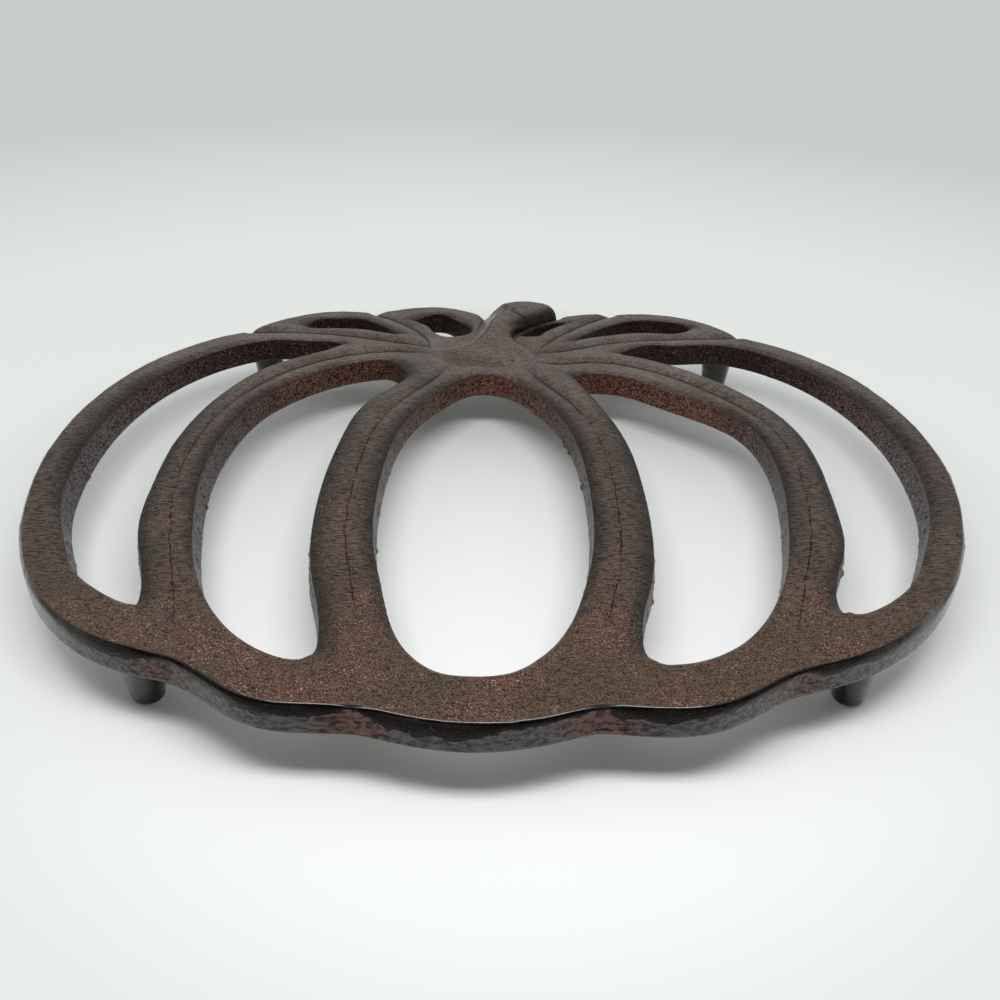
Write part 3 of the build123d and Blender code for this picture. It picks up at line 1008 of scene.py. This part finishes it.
def foot_mesh(name, seed):
    """A profile turned about the foot's upright middle line, with a little of the sand's relief.

    The profile is a quarter round at the tip, a straight taper, and a flare that widens towards the
    root with the square of the height left.
    """
    low, high = (np.array(corner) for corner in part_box(name))
    middle = (low + high) / 2
    limit = (high[0] - low[0]) / 2
    tall = high[2] - low[2]
    up = np.linspace(0, 1, foot_stations)[:, None] ** 1.25
    height = up * tall
    tip = np.clip(1 - height / tip_round, 0, 1)
    radius = tip_radius + (foot_root - tip_radius) * up - tip_round * (1 - np.sqrt(1 - tip ** 2))
    radius = radius + (limit - foot_root) * np.clip(1 - (tall - height) / foot_flare, 0, 1) ** 2
    turn = np.linspace(0, 2 * np.pi, foot_columns, endpoint=False)[None]
    rough = cast_noise(turn / (2 * np.pi) * foot_wrap + 0 * up, height, foot_grit, seed)
    radius = np.minimum(radius + foot_relief * rough * np.sin(np.pi * up), limit)
    grid = np.stack([middle[0] + radius * np.cos(turn), middle[1] + radius * np.sin(turn),
                     low[2] + height + 0 * turn], axis=-1)
    here = np.arange(foot_stations * foot_columns).reshape(foot_stations, foot_columns)
    beside = np.roll(here, -1, axis=1)
    quads = np.stack([here[:-1], beside[:-1], beside[1:], here[1:]], axis=-1).reshape(-1, 4)
    mesh = bpy.data.meshes.new(name + "_cast")
    ends = [here[0, ::-1].tolist(), here[-1].tolist()]
    mesh.from_pydata(grid.reshape(-1, 3), [], quads.tolist() + ends)
    mark(mesh, "edge", np.ones(grid.shape[:2]))
    smooth = np.ones(len(quads) + 2, bool)
    smooth[-2:] = False
    mesh.polygons.foreach_set("use_smooth", smooth)
    return mesh


foot_iron = brown_iron("brown_iron_feet", grain=1700.0, relief=0.9)
for count, name in enumerate(feet):
    place_piece(name + "_cast", foot_mesh(name, foot_seed + count), foot_iron, name)

# Floor, light and camera: a plain pale table top under a soft strip light that hangs over the front
# edge, in surroundings that are dark at the front and pale at the back.  Far from the object the floor
# is seen as evenly pale, and dimmer farther out.
floor_half = 3.0
floor_pale = (0.93, 0.95, 0.94, 1)
far_pale = (0.75, 0.78, 0.75, 1)
even_places = (88 * mm, 125 * mm)
even_shares = (0.08, 0.9)
dim_places = (200 * mm, 400 * mm)
dim_strengths = (1.06, 0.82)
sky_pale = (0.96, 0.99, 1.0, 1)
sky_turns = (-0.4, 0.1)
sky_strengths = (0.02, 0.56)
horizon_heights = (0.2, 0.3)
horizon_strength = 0.64


def seen_directly(tree):
    """1 for rays from the camera and those that a surface mirrors or lets through, and 0 for the rest."""
    rays = add_node(tree, "ShaderNodeLightPath").outputs
    mirrored = worked(tree, "ADD", rays["Is Camera Ray"], rays["Is Glossy Ray"])
    return worked(tree, "ADD", mirrored, rays["Is Transmission Ray"])


corners = np.array([(-1, -1, 0), (1, -1, 0), (1, 1, 0), (-1, 1, 0)]) * floor_half
floor_mesh = bpy.data.meshes.new("floor")
floor_mesh.from_pydata(corners, [], [(0, 1, 2, 3)])
floor = bpy.data.objects.new("floor", floor_mesh)
bpy.context.scene.collection.objects.link(floor)
pale = bpy.data.materials.new("pale_floor")
pale.use_nodes = True
table = pale.node_tree
lit = table.nodes["Principled BSDF"]
lit.inputs["Base Color"].default_value = floor_pale
lit.inputs["Roughness"].default_value = 0.9
spot = add_node(table, "ShaderNodeTexCoord").outputs["Object"]
far = add_node(table, "ShaderNodeVectorMath", {0: spot}, operation="LENGTH").outputs["Value"]
even = times(table, ranged(table, far, *even_places, *even_shares), seen_directly(table))
dimmer = ranged(table, far, *dim_places, *dim_strengths)
glow = add_node(table, "ShaderNodeEmission", {"Color": far_pale, "Strength": dimmer})
blend = add_node(table, "ShaderNodeMixShader", {
    0: even, 1: lit.outputs["BSDF"], 2: glow.outputs["Emission"]})
table.links.new(blend.outputs["Shader"], table.nodes["Material Output"].inputs["Surface"])
floor_mesh.materials.append(pale)

world = bpy.data.worlds.new("studio")
bpy.context.scene.world = world
world.use_nodes = True
sky = world.node_tree
way = add_node(sky, "ShaderNodeTexCoord").outputs["Generated"]
way = add_node(sky, "ShaderNodeSeparateXYZ", {"Vector": way}).outputs
around = ranged(sky, way["Y"], *sky_turns, *sky_strengths)
horizon = times(sky, ranged(sky, way["Z"], *horizon_heights, 1.0, 0.0), seen_directly(sky))
around = blended(sky, horizon, around, horizon_strength)
sky.links.new(around, sky.nodes["Background"].inputs["Strength"])
sky.nodes["Background"].inputs["Color"].default_value = sky_pale

strip_place = (0.0, -0.104, 0.225)
lamp = bpy.data.lights.new("strip", "AREA")
lamp.shape = "RECTANGLE"
lamp.size = 0.22
lamp.size_y = 0.06
lamp.energy = 0.47
strip = bpy.data.objects.new("strip", lamp)
strip.location = strip_place
strip.visible_camera = False
bpy.context.scene.collection.objects.link(strip)

eye = np.array([-6.147, -185.369, 120.9]) * mm
heading = np.radians(1.77)
pitch = np.radians(32.4)
roll = np.radians(2.15)
ahead = np.array([np.sin(heading), np.cos(heading), 0])
across = np.array([np.cos(heading), -np.sin(heading), 0])
upright = np.array([0, 0, 1])
view = np.cos(pitch) * ahead - np.sin(pitch) * upright
rise = np.sin(pitch) * ahead + np.cos(pitch) * upright
camera = bpy.data.objects.new("camera", bpy.data.cameras.new("camera"))
camera.data.sensor_width = 36
camera.data.lens = 36
camera.data.clip_start = 0.01
turned = np.eye(4)
turned[:3, 0] = np.cos(roll) * across + np.sin(roll) * rise
turned[:3, 1] = np.cos(roll) * rise - np.sin(roll) * across
turned[:3, 2] = -view
turned[:3, 3] = eye
camera.matrix_world = Matrix(turned.tolist())
bpy.context.scene.collection.objects.link(camera)
bpy.context.scene.camera = camera
bpy.context.scene.view_settings.view_transform = "Standard"
